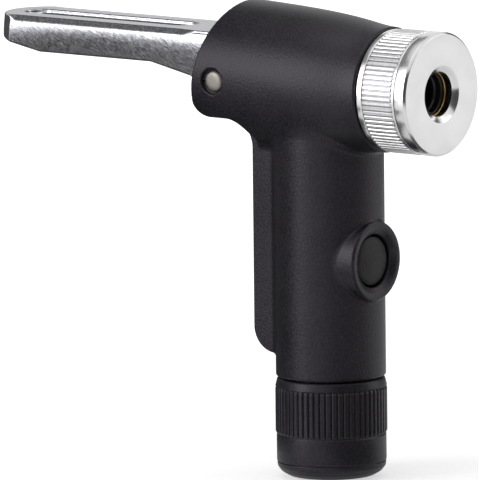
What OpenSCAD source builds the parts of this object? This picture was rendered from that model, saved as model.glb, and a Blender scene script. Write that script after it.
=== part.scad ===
// Lever-lock inflator head: a pistol-shaped hand piece that clamps a tyre valve, bleeds air and takes a hose.
// Frame: +Z runs up the grip, +X runs along the barrel towards the valve mouth, the pin lies along Y.
// The origin is the centre of the hose end, on the grip's axis. All sizes are millimetres.

/* [Grip] */
// Radius of the round grip tube
grip_r = 10.7; // [9.6:0.1:12.4]
// Barrel axis above the lower end of the grip tube
grip_h = 56.8; // [52:0.2:66]
// Radius of the air passage along the grip
air_r = 3.6; // [3:0.1:4]
// Chamfer on the lower edge of the grip tube
grip_edge = 0.4; // [0.2:0.1:0.8]

/* [Back fin] */
// Thickness of the fin
fin_w = 11; // [8:0.5:13]
// How far the fin stands out behind the grip tube
fin_depth = 3.9; // [2.5:0.1:5]
// Lower edge of the fin above the lower end of the grip tube
fin_rise = 4.1; // [2:0.1:8]
// Radius of the fin's lower corner
fin_corner_r = 5.1; // [3:0.1:6]
// Depth of the fin's upper back corner below the barrel axis
fin_drop = 11.9; // [10.5:0.1:13]

/* [Barrel] */
// Distance from the grip's axis to the shoulder that the valve ring meets
barrel_front = 15.5; // [14:0.1:18]
// Radius of the barrel at its front shoulder
barrel_front_r = 12.1; // [11.6:0.1:13]
// Radius that the barrel swells to at the back
barrel_back_r = 14.2; // [13:0.1:15.5]
// Length of the plain stretch behind the front shoulder
barrel_plain = 2.9; // [1.5:0.1:5]
// Distance in which most of the swelling happens
barrel_flare = 9.5; // [6:0.5:14]
// Upward tilt of the barrel's outside towards the back, in degrees
barrel_tilt = 2.1; // [0:0.1:3]
// Distance from the grip's axis to the hindmost point of the back curve
barrel_back = 23.6; // [23:0.1:27]
// Radius of the curved back edge, seen from the side
back_curve_r = 75; // [50:1:120]
// Height of that curve's centre below the barrel axis
back_curve_drop = 10.9; // [8:0.1:14]
// Depth of the cheeks' lower edge below the barrel axis
cheek_drop = 6.6; // [5.8:0.1:8]
// Radius of the cheeks' lower back corner
cheek_corner_r = 3.6; // [2:0.1:4.5]
// Radius of the hollow corner under the barrel
web_fillet_r = 2.7; // [1.5:0.1:3.5]
// How far the web under the barrel stands forward of the fin's back
web_setback = 2.3; // [1:0.1:3]
// Radius of the bore that the plunger slides in
barrel_bore_r = 8; // [7.6:0.1:8.3]
// Radius of the narrower bore that guides the plunger's tail
guide_bore_r = 6.5; // [6:0.1:7]
// Length of the guide bore
guide_len = 7; // [6:0.1:8]

/* [Threaded nose] */
// Outer radius of the nose that the valve ring screws on
nose_r = 10; // [9.6:0.1:10.2]
// Length of the nose beyond the front shoulder
nose_len = 6.1; // [5:0.1:6.5]
// Radial clearance of the screwed joints
thread_clearance = 0.08; // [0.05:0.01:0.1]

/* [Lever] */
// Pin axis behind the grip's axis
pin_back = 17.8; // [17:0.1:18.6]
// Pin axis above the barrel axis
pin_rise = 0.8; // [0:0.1:1.5]
// Radius of the lever pin
pin_r = 2.1; // [1.8:0.1:2.4]
// Radial running clearance of the lever on its pin
pin_clearance = 0.05; // [0.02:0.01:0.1]
// Depth of each pin end below the cheek's surface
pin_recess = 0.6; // [0.3:0.1:1]
// Radius of the countersink round each pin end
pin_sink_r = 2.8; // [2.6:0.1:3.4]
// Width of the lever
lever_w = 16; // [14:0.2:16.4]
// Distance from the pin to the lever's tip
lever_reach = 59.9; // [45:0.5:75]
// Height of the lever's flat top above the pin
lever_top = 8.7; // [8.2:0.1:9]
// Thickness of the lever's top plate
lever_plate = 2; // [1.5:0.1:2.5]
// Thickness of the lever's side walls
lever_wall = 1.8; // [1.4:0.1:2.5]
// Depth of the side walls below the flat top
lever_depth = 6.85; // [5.5:0.05:7.5]
// Height of the tip's end face
tip_face = 4.4; // [3.4:0.1:5]
// Length of the sloping underside at the tip
tip_slope = 12.7; // [6:0.1:16]
// Distance from the pin to where the side walls start to deepen towards the hub
root_slope_start = 19.7; // [16:0.1:24]
// Distance from the pin to the end of the channel under the lever
channel_end = 7.6; // [7:0.1:9]
// Radius of the lever's round end, seen from above
tip_curve_r = 8.6; // [8.4:0.1:14]
// Width of the chamfer along the lever's top edges, measured across the lever
chamfer_w = 0.9; // [0.4:0.1:1.4]
// Height of that chamfer
chamfer_h = 1.3; // [0.6:0.1:1.6]
// Distance from the pin to where the chamfer ends
chamfer_end = 10.2; // [9:0.1:14]
// Width of the thumb groove in the top
groove_w = 6.2; // [3:0.1:7]
// Depth of the thumb groove
groove_depth = 1; // [0.4:0.1:1.2]
// Distance from the tip to the groove
groove_margin = 4; // [3:0.1:8]
// Distance from the pin to the groove's inner end
groove_start = 14.5; // [12:0.1:20]
// Clearance on each side of the lever between the cheeks
lever_side_gap = 0.2; // [0.15:0.05:0.4]
// Distance from the pin to the cam face when the lever is locked
cam_lock_r = 7.6; // [7.2:0.1:8]
// Distance that the cam pushes the plunger
cam_lift = 2.36; // [1.5:0.01:2.6]

/* [Valve ring] */
// Radius of the ring's knurled band
ring_r = 12.05; // [11.8:0.05:12.6]
// Length of the ring
ring_len = 11.7; // [11.4:0.1:13]
// Gap between the ring and the barrel's shoulder
ring_gap = 0.15; // [0.1:0.05:0.3]
// Thickness of the ring's front wall
ring_front = 2.4; // [1.8:0.1:2.6]
// Length of the knurled band
ring_knurl_len = 7.2; // [5:0.1:7.6]
// Length of the plain rim behind the knurl
ring_rim = 1.2; // [0.8:0.1:1.6]
// Width of the groove in front of the knurl
ring_groove = 0.6; // [0.4:0.1:0.8]
// Depth of the knurl and of that groove
knurl_depth = 0.35; // [0.2:0.05:0.5]
// Number of knurls round the ring
ring_knurls = 76; // [60:1:90]
// Radius of the hole that the valve enters
mouth_r = 4.38; // [4.2:0.02:4.6]
// Radius of the mouth's flare at the face
mouth_flare_r = 5.56; // [5:0.02:6.2]
// Depth of the mouth's flare
mouth_flare_h = 0.8; // [0.5:0.1:1]
// Edge break on the ring's face
ring_edge = 0.4; // [0.2:0.1:0.6]

/* [Seal and plunger] */
// Thickness of the washer in front of the seal
washer_t = 0.6; // [0.4:0.1:0.8]
// Clamped length of the rubber seal
seal_len = 6.9; // [6.5:0.1:7.2]
// Radius of the seal's bore
seal_bore_r = 3.95; // [3.6:0.05:4.1]
// Height of the sealing lips inside the bore
seal_lip = 0.3; // [0.1:0.05:0.4]
// Thickness of the brass retainer's flange
retainer_t = 1.2; // [0.8:0.1:1.5]
// Length of the retainer's neck inside the plunger
retainer_neck = 2.4; // [1.5:0.1:3]
// Radius of the hole through the retainer
retainer_bore_r = 3.3; // [2.8:0.1:3.6]
// Length of the piston land at the plunger's front
piston_len = 6.9; // [5.5:0.1:7.5]
// Radius of the plunger behind its piston land
plunger_neck_r = 7.2; // [6.8:0.1:7.4]
// Radius of the hollow inside the plunger
plunger_bore_r = 4.6; // [4.4:0.1:4.9]
// Radius of the air ports through the plunger's wall
port_r = 1; // [0.7:0.1:1.3]
// Running clearance of the pistons in their bores
piston_clearance = 0.06; // [0.03:0.01:0.1]
// Thickness of the steel thrust plate behind the plunger
thrust_t = 1.2; // [0.8:0.1:1.5]
// Radius of the thrust plate
thrust_r = 5.6; // [5:0.1:5.8]
// Cord radius of the plunger's O-rings
plunger_cord_r = 0.75; // [0.6:0.05:0.9]
// Length of the shuttle's guide body
shuttle_len = 6.3; // [5:0.1:7]
// Radius of the shuttle's core-depressing tip
shuttle_tip_r = 1.3; // [1:0.1:1.6]
// Length of that tip
shuttle_tip = 6; // [4:0.1:7]
// Distance that the shuttle can be pushed back
shuttle_travel = 3; // [2:0.1:3.2]
// Wire radius of the shuttle spring
shuttle_wire_r = 0.25; // [0.2:0.05:0.3]
// Curls of the shuttle spring
shuttle_curls = 5; // [4:1:6]

/* [Bleed valve] */
// Button axis above the lower end of the grip tube
boss_h = 23.1; // [18:0.1:30]
// Distance from the grip's axis to the boss's rim
boss_reach = 11.4; // [11.2:0.1:14]
// Radius of the boss at its rim
boss_r = 7.75; // [7.3:0.05:8.5]
// Widening of the boss's radius per millimetre towards the grip
boss_taper = 0.2; // [0.1:0.01:0.24]
// Radius of the dish at the rim
dish_r = 6.45; // [6:0.05:7]
// Depth of the dish
dish_depth = 0.88; // [0.5:0.02:1.2]
// Radius of the button
button_r = 4.74; // [4.4:0.02:5]
// Radial gap round the button
button_gap = 0.44; // [0.2:0.02:0.5]
// Depth of the button's face below the rim
button_sink = 0.62; // [0.4:0.02:1]
// Height of the button's cap
button_h = 2.6; // [2.4:0.1:3]
// Distance that the button travels
button_travel = 1.8; // [1.2:0.1:1.9]
// Wall of the button's skirt
skirt_wall = 0.84; // [0.6:0.02:1]
// Thickness of the button's top
button_top = 1; // [0.8:0.1:1.2]
// Radius of the bleed stem
stem_r = 1; // [0.8:0.1:1.2]
// Radius of the head at the stem's inner end
stem_head_r = 2.4; // [2.2:0.1:2.6]
// Thickness of that head
stem_head_t = 1.1; // [0.9:0.1:1.3]
// Outer radius of the brass bleed seat
seat_r = 3.4; // [3.2:0.1:3.8]
// Length of the bleed seat
seat_len = 4; // [3.5:0.1:4.1]
// Radius of the vent hole round the stem
vent_r = 1.6; // [1.4:0.1:1.8]
// Cord radius of the bleed O-ring
bleed_cord_r = 0.55; // [0.45:0.05:0.6]
// Wire radius of the button spring
button_wire_r = 0.22; // [0.2:0.02:0.26]
// Curls of the button spring
button_curls = 3; // [2:1:3]

/* [Hose end] */
// Height of the collar above the end ring
collar_h = 16.3; // [15:0.1:20]
// Radius of the collar's knurled band
collar_r = 10.96; // [10.7:0.02:12]
// Radius of the collar's plain band
collar_plain_r = 10.66; // [10.4:0.02:11.4]
// Height of the knurled band
collar_knurl_h = 9.1; // [6:0.1:10]
// Height of the collar's top cone
collar_top_h = 1.75; // [1:0.05:3]
// Radius at the upper end of that cone
collar_top_r = 10.35; // [10.1:0.05:10.6]
// Number of knurls round the collar
collar_knurls = 58; // [44:1:72]
// Gap between the collar and the grip tube
collar_gap = 0.3; // [0.2:0.05:0.5]
// Radius of the threaded spigot below the grip
spigot_r = 9; // [8.7:0.1:9.3]
// Length of the spigot
spigot_len = 11.7; // [10.5:0.1:12]
// Radius of the recess inside the spigot
recess_r = 7; // [6.8:0.1:7.4]
// Depth of that recess
recess_depth = 8; // [6:0.1:9]
// Height of the end ring
end_h = 3.1; // [2.8:0.1:3.6]
// Radius of the end ring's upper edge
end_r = 10.5; // [10.2:0.1:11]
// Rounding of the end ring's lower edge
end_round = 2.8; // [1.5:0.1:2.8]
// Radius of the hole that the hose enters
hose_hole_r = 5.4; // [5.2:0.1:5.8]
// Height of the end ring's neck inside the collar
end_neck_h = 2; // [1.5:0.1:2.5]
// Radial clearance of the end ring's neck
end_fit = 0.02; // [0.01:0.01:0.05]
// Radius of the seat inside the collar that squeezes the clamp sleeve
clamp_seat_r = 8.2; // [8:0.1:8.4]
// Wall of the clamp sleeve
clamp_wall = 1.7; // [1.4:0.1:1.9]
// Number of slots in the clamp sleeve
clamp_slots = 6; // [4:1:8]
// Width of each slot
clamp_slot_w = 0.9; // [0.6:0.1:1.2]
// Radius of the barb's plug
plug_r = 5; // [4.8:0.1:5.4]
// Length of the plug
plug_len = 7.6; // [6.5:0.1:8]
// Radius of the barb's flange
flange_r = 6.6; // [6.2:0.1:6.7]
// Thickness of the flange
flange_t = 1.4; // [1:0.1:1.8]
// Thickness of the gasket between the flange and the spigot
gasket_t = 0.6; // [0.4:0.1:1]
// Radius of the barbed tail between its barbs
tail_r = 3; // [2.7:0.1:3.2]
// How far each barb stands out
barb_step = 0.45; // [0.3:0.05:0.5]
// Number of barbs
barbs = 3; // [2:1:4]
// Radius of the air hole through the barb
barb_bore_r = 1.9; // [1.6:0.1:2.1]
// Cord radius of the barb's O-ring
barb_cord_r = 0.75; // [0.6:0.05:0.9]

/* [Hidden] */
$fn = 96;
eps = 0.01;
seat_gap = 0.1;
cord_gap = 0.03;
far = 60;

// Heights: the end ring stands on z = 0, the collar on it, and the grip above the collar.
collar_top_z = end_h + collar_h;
grip_z = collar_top_z + collar_gap;
bore_z = grip_z + grip_h;
boss_z = grip_z + boss_h;
pin_z = bore_z + pin_rise;
pin_x = -pin_back;
spigot_z = grip_z - spigot_len;

// Stations along the barrel, from the cam to the ring's face.
cam_x = pin_x + cam_lock_r;
thrust_x = cam_x + seat_gap;
wall_x = thrust_x + 1.1;
guide_end_x = wall_x + guide_len;
piston_back_x = guide_end_x + cam_lift + 0.3;
ring_x = barrel_front + ring_gap;
face_x = ring_x + ring_len;
front_wall_x = face_x - ring_front;
washer_x = front_wall_x - washer_t;
seal_x = washer_x - seal_len;
retainer_x = seal_x - seat_gap - retainer_t;
piston_front_x = retainer_x;
piston_x = piston_front_x - piston_len;
piston_oring_x = piston_x + piston_len / 2 + 1;
guide_oring_x = wall_x + guide_len / 2;
shuttle_front_x = retainer_x - retainer_neck - seat_gap;
shuttle_back_x = shuttle_front_x - shuttle_len;
hollow_back_x = shuttle_back_x - shuttle_travel - shuttle_curls * 2.2 * shuttle_wire_r;
guide_r = guide_bore_r - piston_clearance;
piston_r = barrel_bore_r - piston_clearance;
shuttle_r = plunger_bore_r - piston_clearance;
shuttle_cord_r = 0.5;
shuttle_oring_x = shuttle_front_x - 1.5;
thread_r = nose_r + thread_clearance;
seal_r = barrel_bore_r - seat_gap;

// The lever's hub: a cam whose lift grows evenly with the angle, and a round back that turns under the roof.
cam_rate = cam_lift / (PI / 2);
hub_r = lever_top + 0.3;
roof_z = pin_z + hub_r + 0.3;
slot_w = lever_w + 2 * lever_side_gap;
cheek_z = bore_z - cheek_drop;
fin_x = -(grip_r + fin_depth);
web_x = fin_x + web_setback;
fin_z = grip_z + fin_rise;
back_curve_z = bore_z - back_curve_drop;
corner_z = cheek_z + cheek_corner_r;
back_at_corner = back_curve_r - barrel_back - sqrt(pow(back_curve_r, 2) - pow(corner_z - back_curve_z, 2));

// The bleed valve, along the boss.
rim_x = boss_reach;
gap_x = rim_x - dish_depth;
button_x = rim_x - button_sink;
pocket_x = button_x - button_h - button_travel - 2 * seat_gap;
pocket_r = button_r + button_gap;
skirt_r = button_r - skirt_wall;
seat_back_x = pocket_x - seat_len;
stem_head_x = seat_back_x - 2 * bleed_cord_r - seat_gap - stem_head_t;

// The hose end, from the barb's plug down to the end ring.
recess_z = spigot_z + recess_depth;
gasket_z = recess_z - gasket_t - end_fit;
flange_z = gasket_z - flange_t - end_fit;
plug_z = recess_z + plug_len;
tail_z = end_h + end_neck_h + 0.8;
tail_len = flange_z - tail_z;
clamp_z = end_h + end_neck_h + seat_gap;
clamp_top_z = flange_z - seat_gap;
clamp_r = recess_r - 0.2;
clamp_step_z = spigot_z - 0.5;
neck_r = clamp_seat_r - end_fit;
collar_bore_r = spigot_r + thread_clearance;
knurl_top_z = collar_top_z - collar_top_h;
knurl_z = knurl_top_z - collar_knurl_h;

// Radius of the barrel's outside at a station along its own axis.
function barrel_r(x) =
    x >= barrel_front - barrel_plain ? barrel_front_r
    : barrel_back_r
        - (barrel_back_r - barrel_front_r) * exp((x - barrel_front + barrel_plain) / barrel_flare);

// Free space between two curls of a spring of length h.
function coil_gap(h, wire_r, curls) = (h - 2 * wire_r) / curls - 2 * wire_r;

// Half-width of the barrel at the pin, which sets the pin's length.
barrel_rise_at_pin = (barrel_front + pin_back) * tan(barrel_tilt);
cheek_y = sqrt(pow(barrel_r(pin_x), 2) - pow(pin_rise - barrel_rise_at_pin, 2));
pin_len = 2 * (cheek_y - pin_recess);

shuttle_spring_len = shuttle_back_x - hollow_back_x - 2 * seat_gap;
button_spring_len = button_x - button_top - pocket_x - 2 * seat_gap;
echo(shuttle_spring_least_gap = coil_gap(shuttle_spring_len, shuttle_wire_r, shuttle_curls));
echo(button_spring_least_gap = coil_gap(button_spring_len, button_wire_r, button_curls));

// Places its children on the barrel axis at station x, with their +Z along +X.
module on_bore(x) {
    translate([x, 0, bore_z]) rotate([0, 90, 0]) children();
}

// Places its children on the button's axis at station x, with their +Z along +X.
module on_boss(x) {
    translate([x, 0, boss_z]) rotate([0, 90, 0]) children();
}

// Extrudes a side view, drawn as [x, z], by w along Y about the middle plane.
module side_plate(w) {
    rotate([90, 0, 0]) linear_extrude(w, center = true) children();
}

module tube(h, r_out, r_in) {
    difference() {
        cylinder(h = h, r = r_out);
        translate([0, 0, -eps]) cylinder(h = h + 2 * eps, r = r_in);
    }
}

// A rubber O-ring round +Z, centred on the origin, that just fills a bore of radius r.
module o_ring(r, cord_r) {
    rotate_extrude() translate([r - cord_r - cord_gap, 0]) circle(r = cord_r, $fn = 32);
}

// What is cut away for that O-ring in the piece that carries it.
module o_ring_groove(r, cord_r) {
    w = 2.2 * cord_r;
    translate([0, 0, -w / 2]) tube(w, r + 1, r - 2 * cord_r - 2 * cord_gap);
}

// A band of straight knurls: n ridges between r - depth and r.
module knurl_band(h, r, depth, n) {
    points = [for (i = [0 : n - 1], part = [0 : 3])
        let (angle = 360 / n * (i + [0.08, 0.42, 0.58, 0.92][part]))
        (part == 0 || part == 3 ? r - depth : r) * [cos(angle), sin(angle)]];
    linear_extrude(h) polygon(points);
}

// A helical spring along +Z with its wire swept as one closed tube: 8 rings to a curl, 6 sides.
module coil(h, mid_r, wire_r, curls) {
    rings = curls * 8;
    sides = 6;
    climb = (h - 2 * wire_r) / rings;
    points = [for (i = [0 : rings], j = [0 : sides - 1])
        let (turn = 45 * i, around = 360 / sides * j, r = mid_r + wire_r * cos(around))
        [r * cos(turn), r * sin(turn), wire_r + climb * i + wire_r * sin(around)]];
    walls = [for (i = [0 : rings - 1], j = [0 : sides - 1], half = [0, 1])
        let (a = i * sides + j, b = i * sides + (j + 1) % sides)
        half == 0 ? [a, b, a + sides] : [b, b + sides, a + sides]];
    start = [for (j = [1 : sides - 2]) [0, j + 1, j]];
    last = rings * sides;
    end = [for (j = [1 : sides - 2]) [last, last + j, last + j + 1]];
    polyhedron(points, concat(walls, start, end));
}

// The barrel's swelling outside, turned about a slightly tilted axis.
module barrel_outside() {
    steps = 9;
    back = -barrel_back - 4;
    plain_x = barrel_front - barrel_plain;
    stations = [for (i = [0 : steps]) plain_x + (back - plain_x) * pow(i / steps, 1.3)];
    outline = concat([[0, back], [0, barrel_front]], [[barrel_front_r, barrel_front]],
        [for (x = stations) [barrel_r(x), x]]);
    translate([barrel_front, 0, bore_z]) rotate([0, barrel_tilt, 0]) translate([-barrel_front, 0, 0])
        rotate([0, 90, 0]) rotate_extrude() polygon(outline);
    on_bore(barrel_front - barrel_plain) cylinder(h = barrel_plain, r = barrel_front_r);
}

// Side view of what the barrel keeps: its curved back, and nothing ahead of the front shoulder.
module back_limit() {
    intersection() {
        translate([back_curve_r - barrel_back, back_curve_z]) circle(r = back_curve_r, $fn = 200);
        translate([-far, 0]) square([far + barrel_front, 3 * far]);
    }
}

// Side view of the space under the cheeks, with its hollow corner and the cheeks' round lower corner.
module under_cheeks() {
    translate([web_x - web_fillet_r - far, cheek_z - far]) square([far, far]);
    translate([web_x - far, cheek_z - web_fillet_r - far]) square([far, far]);
    translate([web_x - web_fillet_r, cheek_z - web_fillet_r]) circle(r = web_fillet_r);
    difference() {
        translate([back_at_corner + cheek_corner_r - far, corner_z - far]) square([far, far]);
        translate([back_at_corner + cheek_corner_r, corner_z]) circle(r = cheek_corner_r);
    }
}

module barrel_body() {
    difference() {
        intersection() {
            barrel_outside();
            side_plate(far) back_limit();
        }
        side_plate(far) under_cheeks();
    }
}

module grip_body() {
    translate([0, 0, grip_z + grip_edge]) cylinder(h = grip_h - grip_edge, r = grip_r);
    translate([0, 0, grip_z]) cylinder(h = grip_edge, r1 = grip_r - grip_edge, r2 = grip_r);
    translate([0, 0, spigot_z]) cylinder(h = spigot_len + eps, r = spigot_r);
}

// The fin's upper back corner is cut at 45 degrees up to the web.
module fin_body() {
    side_plate(fin_w) {
        polygon([[0, fin_z + fin_corner_r], [fin_x, fin_z + fin_corner_r], [fin_x, bore_z - fin_drop],
            [web_x, bore_z - fin_drop + web_setback], [0, bore_z - fin_drop + web_setback]]);
        translate([fin_x + fin_corner_r, fin_z]) square([-fin_x - fin_corner_r, fin_corner_r + eps]);
        translate([fin_x + fin_corner_r, fin_z + fin_corner_r]) circle(r = fin_corner_r);
    }
}

module boss_body() {
    root_x = 3;
    on_boss(root_x) cylinder(h = rim_x - root_x, r1 = boss_r + boss_taper * (rim_x - root_x), r2 = boss_r);
}

// The space between the cheeks, which the lever's hub turns in.
module lever_slot() {
    translate([-far, -slot_w / 2, cheek_z]) cube([far + wall_x, slot_w, roof_z - cheek_z]);
}

// The pin's hole through both cheeks, with a countersink at each end.
module pin_holes() {
    sink_floor = cheek_y - pin_recess - 0.4;
    translate([pin_x, 0, pin_z]) rotate([90, 0, 0]) {
        cylinder(h = far, r = pin_r + end_fit, center = true);
        for (side = [0, 180]) rotate([side, 0, 0]) {
            translate([0, 0, sink_floor])
                cylinder(h = cheek_y - sink_floor, r1 = pin_r + 0.15, r2 = pin_sink_r);
            translate([0, 0, cheek_y - eps]) cylinder(h = far, r = pin_sink_r);
        }
    }
}

module housing() {
    color("#2c2a30") difference() {
        union() {
            barrel_body();
            grip_body();
            fin_body();
            boss_body();
            on_bore(barrel_front - eps) cylinder(h = nose_len + eps, r = nose_r);
        }
        lever_slot();
        pin_holes();
        on_bore(wall_x - 1) cylinder(h = guide_len + 2, r = guide_bore_r);
        on_bore(guide_end_x) cylinder(h = far, r = barrel_bore_r);
        translate([0, 0, recess_z - eps]) cylinder(h = plug_len + 0.2, r = plug_r + piston_clearance);
        translate([0, 0, recess_z]) cylinder(h = bore_z - recess_z, r = air_r);
        translate([0, 0, spigot_z - eps]) cylinder(h = recess_depth + eps, r = recess_r);
        on_boss(gap_x) cylinder(h = dish_depth + eps, r1 = pocket_r, r2 = dish_r);
        on_boss(pocket_x) cylinder(h = rim_x - pocket_x, r = pocket_r);
        on_boss(0) cylinder(h = pocket_x + eps, r = seat_r + end_fit);
    }
}

module valve_ring() {
    knurl_x = ring_rim;
    groove_x = knurl_x + ring_knurl_len;
    band_x = groove_x + ring_groove;
    low_r = ring_r - knurl_depth;
    color("#d9dce0") on_bore(ring_x) difference() {
        union() {
            cylinder(h = ring_edge, r1 = low_r - ring_edge + 0.2, r2 = low_r + 0.2);
            translate([0, 0, ring_edge]) cylinder(h = knurl_x - ring_edge, r = low_r + 0.2);
            translate([0, 0, knurl_x]) knurl_band(ring_knurl_len, ring_r, knurl_depth, ring_knurls);
            translate([0, 0, groove_x]) cylinder(h = ring_groove, r = low_r);
            translate([0, 0, band_x]) cylinder(h = ring_len - band_x - ring_edge, r = ring_r);
            translate([0, 0, ring_len - ring_edge])
                cylinder(h = ring_edge, r1 = ring_r, r2 = ring_r - ring_edge);
        }
        translate([0, 0, -eps]) cylinder(h = nose_len + 0.4, r = thread_r);
        cylinder(h = ring_len - ring_front, r = seal_r + seat_gap);
        cylinder(h = ring_len + eps, r = mouth_r);
        translate([0, 0, ring_len - mouth_flare_h])
            cylinder(h = mouth_flare_h + eps, r1 = mouth_r, r2 = mouth_flare_r);
    }
}

module ring_washer() {
    color("#b5894a") on_bore(washer_x) tube(washer_t, seal_r, mouth_r + 0.2);
}

// A thick rubber sleeve with two lips that press on the valve's thread.
module valve_seal() {
    lip_x = seal_len / 5;
    color("#151515") on_bore(seal_x) rotate_extrude() difference() {
        translate([seal_bore_r - seal_lip, 0]) square([seal_r - seal_bore_r + seal_lip, seal_len]);
        translate([seal_bore_r - seal_lip - 1, -eps]) square([1 + seal_lip, lip_x + eps]);
        translate([seal_bore_r - seal_lip - 1, 2 * lip_x]) square([1 + seal_lip, lip_x]);
        translate([seal_bore_r - seal_lip - 1, 4 * lip_x]) square([1 + seal_lip, lip_x + eps]);
    }
}

// The brass piece that presses on the seal and keeps the shuttle in the plunger.
module seal_retainer() {
    color("#b5894a") {
        on_bore(retainer_x) tube(retainer_t, seal_r, retainer_bore_r);
        on_bore(retainer_x - retainer_neck) tube(retainer_neck + eps, shuttle_r, retainer_bore_r);
    }
}

module plunger() {
    color("#d8d4c8") difference() {
        union() {
            on_bore(thrust_x) cylinder(h = piston_back_x - thrust_x + eps, r = guide_r);
            on_bore(piston_back_x) cylinder(h = piston_x - piston_back_x + eps, r = plunger_neck_r);
            on_bore(piston_x) cylinder(h = piston_len, r = piston_r);
        }
        on_bore(hollow_back_x) cylinder(h = far, r = plunger_bore_r);
        on_bore(thrust_x - eps) cylinder(h = thrust_t + eps, r = thrust_r + end_fit);
        for (turn = [45 : 90 : 315])
            on_bore(piston_back_x + 2 * port_r) rotate([0, 90, turn]) cylinder(h = far, r = port_r);
        on_bore(piston_oring_x) o_ring_groove(barrel_bore_r, plunger_cord_r);
        on_bore(guide_oring_x) o_ring_groove(guide_bore_r, plunger_cord_r);
    }
}

module piston_oring() {
    color("#1a1a1a") on_bore(piston_oring_x) o_ring(barrel_bore_r, plunger_cord_r);
}

module guide_oring() {
    color("#1a1a1a") on_bore(guide_oring_x) o_ring(guide_bore_r, plunger_cord_r);
}

module thrust_plate() {
    color("#9a9da1") on_bore(thrust_x) cylinder(h = thrust_t, r = thrust_r);
}

// The self-selecting piece: it is pushed back by a thin valve, and its tip opens a thick valve's core.
module shuttle() {
    nose_taper = 1.5;
    color("#2f2d2c") difference() {
        union() {
            on_bore(shuttle_back_x) cylinder(h = shuttle_len, r = shuttle_r);
            on_bore(shuttle_front_x - eps)
                cylinder(h = nose_taper + eps, r1 = retainer_bore_r - 0.4, r2 = shuttle_tip_r);
            on_bore(shuttle_front_x) cylinder(h = shuttle_tip, r = shuttle_tip_r);
        }
        on_bore(shuttle_back_x - eps) cylinder(h = shuttle_len - 2.4, r = shuttle_r - 1.3);
        on_bore(shuttle_oring_x) o_ring_groove(plunger_bore_r, shuttle_cord_r);
        for (turn = [0 : 90 : 270])
            on_bore(shuttle_back_x + 2) rotate([0, 90, turn]) cylinder(h = far, r = 0.7);
    }
}

module shuttle_oring() {
    color("#1a1a1a") on_bore(shuttle_oring_x) o_ring(plunger_bore_r, shuttle_cord_r);
}

module shuttle_spring() {
    color("#c4c6c8") on_bore(hollow_back_x + seat_gap)
        coil(shuttle_spring_len, shuttle_r - 0.65, shuttle_wire_r, shuttle_curls);
}

// Side view of the lever about its pin: the cam, the rounded hub, the long arm and its sloping tip.
module lever_side() {
    cam = [for (angle = [-100 : 5 : 0])
        let (reach = cam_lock_r + cam_rate * angle * PI / 180)
        [reach * cos(angle) - cam_rate * sin(angle), reach * sin(angle) + cam_rate * cos(angle)]];
    face_angle = acos(cam_lock_r / hub_r);
    top_angle = asin(lever_top / hub_r);
    hub = [for (i = [0 : 8]) let (angle = face_angle + (top_angle - face_angle) * i / 8)
        hub_r * [cos(angle), sin(angle)]];
    arm = [
        [-lever_reach, lever_top],
        [-lever_reach, lever_top - tip_face],
        [-lever_reach + tip_slope, lever_top - lever_depth],
        [-root_slope_start, lever_top - lever_depth],
        [-root_slope_start / 2, lever_top - lever_depth - 2.1],
        [-3, cam[0][1] + 0.5],
    ];
    polygon(concat(cam, hub, arm));
}

// Top view of the lever about its pin: straight sides and a round tip, drawn in by inset.
module lever_plan(inset, root) {
    half = lever_w / 2 - inset;
    tip_x = -lever_reach + tip_curve_r;
    translate([tip_x, -half]) square([root - tip_x, 2 * half]);
    intersection() {
        translate([tip_x, 0]) circle(r = tip_curve_r - inset);
        translate([-2 * far, -half]) square([2 * far, 2 * half]);
    }
}

// The lever's outside with its straight top edges chamfered up to near the hub.
module lever_outside() {
    half = lever_w / 2;
    inner_y = half - chamfer_w;
    bevel_z = lever_top - chamfer_h;
    bevel = [[inner_y, lever_top], [half, bevel_z], [half + 1, bevel_z], [half + 1, lever_top + 1],
        [inner_y, lever_top + 1]];
    difference() {
        intersection() {
            side_plate(lever_w + 2) lever_side();
            translate([0, 0, -far / 2]) linear_extrude(far) lever_plan(0, far);
        }
        for (side = [0, 1]) mirror([0, side, 0])
            translate([-lever_reach - 1, 0, 0]) rotate([90, 0, 90])
                linear_extrude(lever_reach + 1 - chamfer_end) polygon(bevel);
    }
}

module thumb_groove() {
    r = groove_w / 2;
    outer = -lever_reach + groove_margin + r;
    inner = -groove_start - r;
    translate([0, 0, lever_top - groove_depth]) linear_extrude(far) {
        translate([outer, -r]) square([inner - outer, groove_w]);
        translate([outer, 0]) circle(r = r);
        translate([inner, 0]) circle(r = r);
    }
}

module lever() {
    color("#b8bcc2") translate([pin_x, 0, pin_z]) difference() {
        lever_outside();
        translate([0, 0, lever_top - lever_plate - far])
            linear_extrude(far) lever_plan(lever_wall, -channel_end);
        thumb_groove();
        rotate([90, 0, 0]) cylinder(h = far, r = pin_r + pin_clearance, center = true);
    }
}

module lever_pin() {
    crown = 0.3;
    color("#a39c94") translate([pin_x, 0, pin_z]) rotate([90, 0, 0]) {
        cylinder(h = pin_len - 2 * crown, r = pin_r, center = true);
        for (side = [0, 180]) rotate([side, 0, 0])
            translate([0, 0, pin_len / 2 - crown]) cylinder(h = crown, r1 = pin_r, r2 = pin_r - crown);
    }
}

module button() {
    crown = 0.15;
    color("#1d1c1f") difference() {
        union() {
            on_boss(button_x - button_h) cylinder(h = button_h - crown, r = button_r);
            on_boss(button_x - crown - eps) cylinder(h = crown + eps, r1 = button_r, r2 = button_r - 2 * crown);
            on_boss(button_x - crown) intersection() {
                translate([0, 0, crown + 0.2 - far]) sphere(r = far, $fn = 200);
                cylinder(h = 2, r = button_r - 2 * crown);
            }
        }
        on_boss(button_x - button_h - eps) cylinder(h = button_h - button_top + eps, r = skirt_r);
    }
}

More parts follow.
